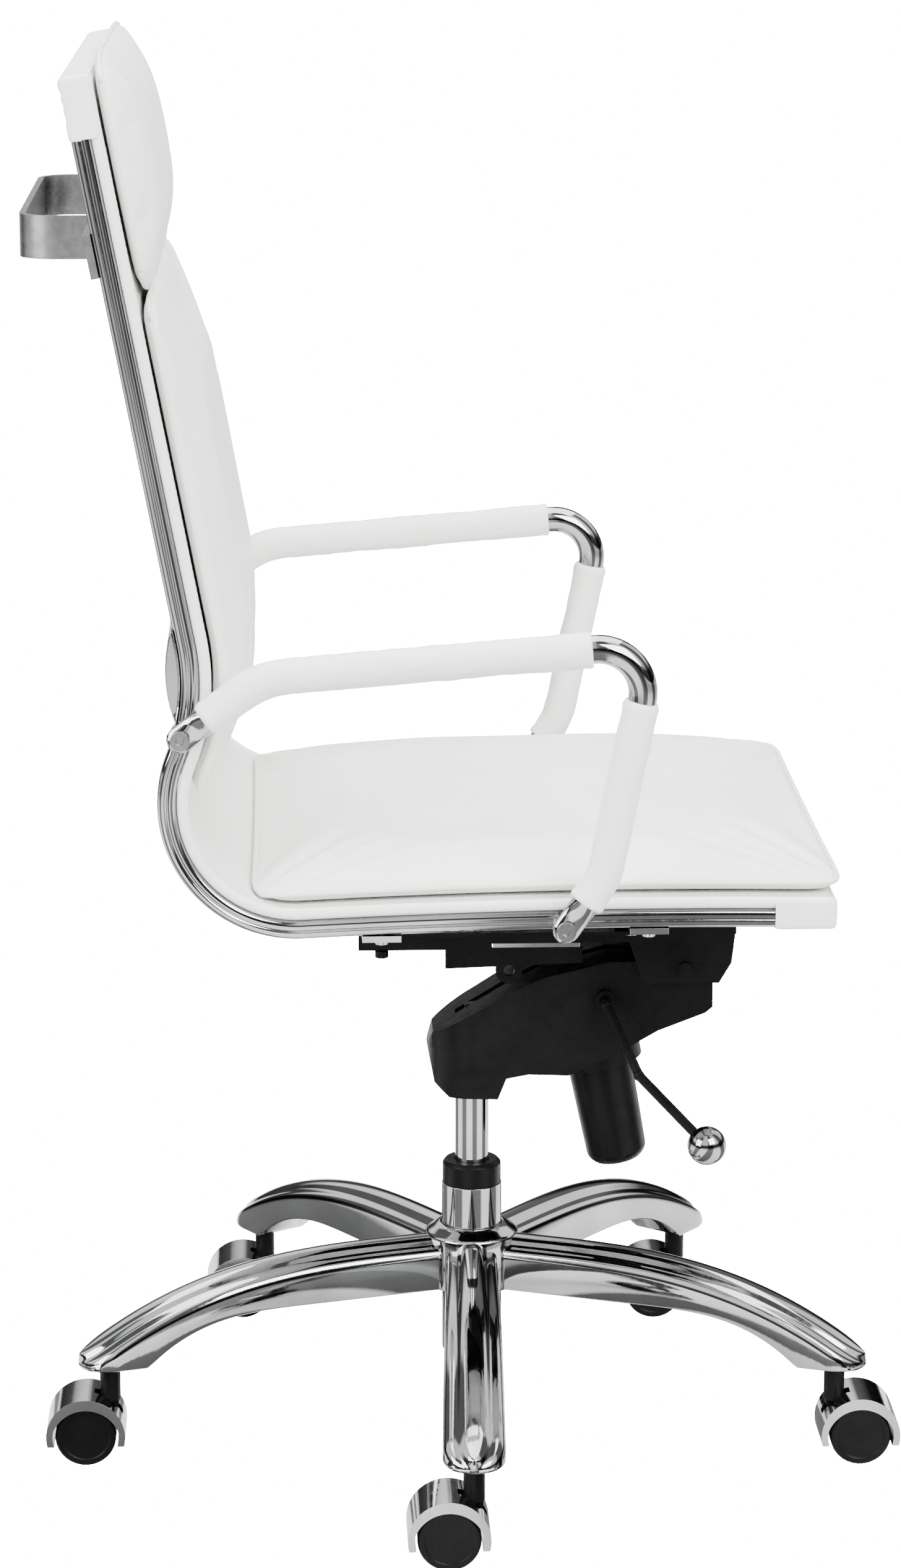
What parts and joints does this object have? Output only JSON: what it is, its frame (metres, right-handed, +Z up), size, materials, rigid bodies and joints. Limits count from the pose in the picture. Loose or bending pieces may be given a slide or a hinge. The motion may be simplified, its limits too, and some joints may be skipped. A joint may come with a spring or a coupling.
{
  "type": "swivel office chair",
  "caption": "High-back swivel office chair with a padded leather sling on bright side rails, loop arms, tilt mechanism, gas column and star base on hooded casters.",
  "frame": {"origin": "on the floor, on the axis of the gas column", "axes": "+Z up, -Y the way the sitter faces, -X the sitter's right hand"},
  "size_m": [0.6385, 0.7019, 1.1613],
  "materials": {
    "chrome": "polished chrome plate",
    "handle_metal": "satin grey metal",
    "leather": "white leatherette, soft matte",
    "black_metal": "black powder coat",
    "black_plastic": "moulded black plastic",
    "steel": "zinc-plated steel"
  },
  "bodies": {
    "base": {"base_star": "chrome", "caster_stems": "steel", "outer_tube": "chrome", "guide_bush": "black_plastic", "tube_collar": "black_plastic"},
    "rod": {"piston_rod": "steel", "thrust_bearing": "steel", "bearing_clip": "steel"},
    "mechanism": {"gas_cylinder": "chrome", "tilt_housing": "black_metal", "tilt_axle": "steel", "tension_spring": "steel"},
    "valve": {"valve_pin": "steel"},
    "knob": {"tension_knob": "black_plastic"},
    "cam": {"lever_cam": "steel"},
    "lever": {"height_lever": "black_metal", "lever_ball": "chrome"},
    "seat": {"seat_plate": "black_metal", "tilt_yoke": "black_metal", "link_bars": "chrome", "plate_bolts": "steel", "plate_bumpers": "black_plastic", "front_stretcher": "chrome", "rear_stretcher": "chrome", "stretcher_screws": "steel", "rail_left": "chrome", "rail_right": "chrome", "sling": "leather", "top_wrap": "leather", "front_wrap": "leather", "seat_pad": "leather", "back_pad": "leather", "head_pad": "leather", "carry_handle": "handle_metal", "lumbar_brace": "chrome", "arm_left": "chrome", "arm_right": "chrome", "arm_sleeves_left": "leather", "arm_sleeves_right": "leather", "arm_screws": "steel"},
    "caster_1": {"caster_core_1": "black_plastic", "caster_hood_1": "chrome"},
    "wheels_1": {"caster_axle_1": "steel", "caster_wheels_1": "black_plastic"},
    "caster_2": {"caster_core_2": "black_plastic", "caster_hood_2": "chrome"},
    "wheels_2": {"caster_axle_2": "steel", "caster_wheels_2": "black_plastic"},
    "caster_3": {"caster_core_3": "black_plastic", "caster_hood_3": "chrome"},
    "wheels_3": {"caster_axle_3": "steel", "caster_wheels_3": "black_plastic"},
    "caster_4": {"caster_core_4": "black_plastic", "caster_hood_4": "chrome"},
    "wheels_4": {"caster_axle_4": "steel", "caster_wheels_4": "black_plastic"},
    "caster_5": {"caster_core_5": "black_plastic", "caster_hood_5": "chrome"},
    "wheels_5": {"caster_axle_5": "steel", "caster_wheels_5": "black_plastic"}
  },
  "joints": [
    {"name": "seat_swivel", "type": "hinge", "parent": "base", "child": "rod", "pos_m": [0, 0, 0.06], "axis": [0, 0, 1], "continuous": true},
    {"name": "seat_height", "type": "slide", "parent": "rod", "child": "mechanism", "axis": [0, 0, 1], "range_m": [-0.048, 0.045]},
    {"name": "seat_tilt", "type": "hinge", "parent": "mechanism", "child": "seat", "pos_m": [0, -0.172, 0.405], "axis": [-1, 0, 0], "range_deg": [0, 13], "stiffness_Nm_per_rad": 200, "springref_deg": -25.78},
    {"name": "valve_press", "type": "slide", "parent": "mechanism", "child": "valve", "axis": [0, 0, -1], "range_m": [0, 0.0048]},
    {"name": "knob_turn", "type": "hinge", "parent": "mechanism", "child": "knob", "pos_m": [0, -0.123, 0.225], "axis": [0, 0.1908, 0.9816], "continuous": true},
    {"name": "lever_lift", "type": "hinge", "parent": "mechanism", "child": "cam", "pos_m": [0, -0.107, 0.377], "axis": [-1, 0, 0], "range_deg": [0, 2.5], "stiffness_Nm_per_rad": 20, "springref_deg": -2.86},
    {"name": "lever_pull", "type": "slide", "parent": "cam", "child": "lever", "axis": [-1, 0, 0], "range_m": [0, 0.012]},
    {"name": "caster_swivel_1", "type": "hinge", "parent": "base", "child": "caster_1", "pos_m": [-0.31381, 0.01096, 0.05], "axis": [0, 0, 1], "continuous": true},
    {"name": "wheel_spin_1", "type": "hinge", "parent": "caster_1", "child": "wheels_1", "pos_m": [-0.31381, 0.03096, 0.025], "axis": [1, 0, 0], "continuous": true},
    {"name": "caster_swivel_2", "type": "hinge", "parent": "base", "child": "caster_2", "pos_m": [-0.08655, 0.30184, 0.05], "axis": [0, 0, 1], "continuous": true},
    {"name": "wheel_spin_2", "type": "hinge", "parent": "caster_2", "child": "wheels_2", "pos_m": [-0.08655, 0.32184, 0.025], "axis": [1, 0, 0], "continuous": true},
    {"name": "caster_swivel_3", "type": "hinge", "parent": "base", "child": "caster_3", "pos_m": [0.26032, 0.17559, 0.05], "axis": [0, 0, 1], "continuous": true},
    {"name": "wheel_spin_3", "type": "hinge", "parent": "caster_3", "child": "wheels_3", "pos_m": [0.26032, 0.19559, 0.025], "axis": [1, 0, 0], "continuous": true},
    {"name": "caster_swivel_4", "type": "hinge", "parent": "base", "child": "caster_4", "pos_m": [0.24743, -0.19332, 0.05], "axis": [0, 0, 1], "continuous": true},
    {"name": "wheel_spin_4", "type": "hinge", "parent": "caster_4", "child": "wheels_4", "pos_m": [0.24743, -0.17332, 0.025], "axis": [1, 0, 0], "continuous": true},
    {"name": "caster_swivel_5", "type": "hinge", "parent": "base", "child": "caster_5", "pos_m": [-0.10739, -0.29506, 0.05], "axis": [0, 0, 1], "continuous": true},
    {"name": "wheel_spin_5", "type": "hinge", "parent": "caster_5", "child": "wheels_5", "pos_m": [-0.10739, -0.31506, 0.025], "axis": [1, 0, 0], "continuous": true}
  ],
  "couplings": [
    {"joint": "valve_press", "follows": "lever_lift", "m_per_rad": 0.107}
  ]
}
